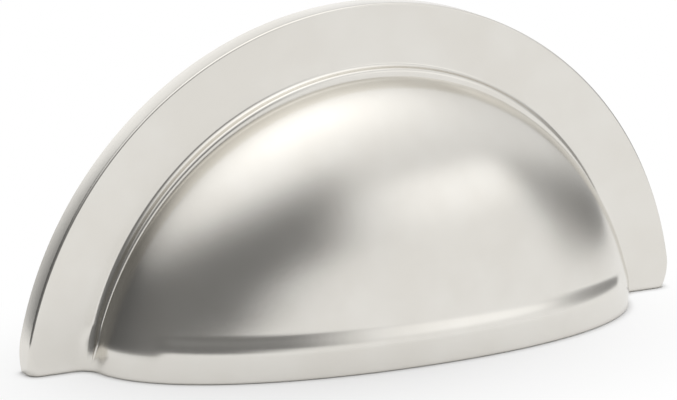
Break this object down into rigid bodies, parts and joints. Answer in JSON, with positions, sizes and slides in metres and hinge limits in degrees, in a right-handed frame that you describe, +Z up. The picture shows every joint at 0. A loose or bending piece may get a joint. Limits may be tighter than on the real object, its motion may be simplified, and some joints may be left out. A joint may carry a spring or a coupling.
{
  "type": "cup pull",
  "caption": "Cup pull with a half-round flange, a domed hollow cup open below for the fingers, a thick stepped rim and tapped bosses at the back.",
  "frame": {"origin": "middle of the bounding box at the lower edge, which is the open edge of the cup", "axes": "+X along the pull, +Y from the front towards the wall side, +Z up from the open lower edge to the top of the flange"},
  "size_m": [0.1032, 0.0214, 0.047],
  "materials": {
    "satin_nickel": "satin nickel plate, fine soft grain"
  },
  "bodies": {
    "root": {"cup_pull": "satin_nickel"}
  },
  "joints": []
}
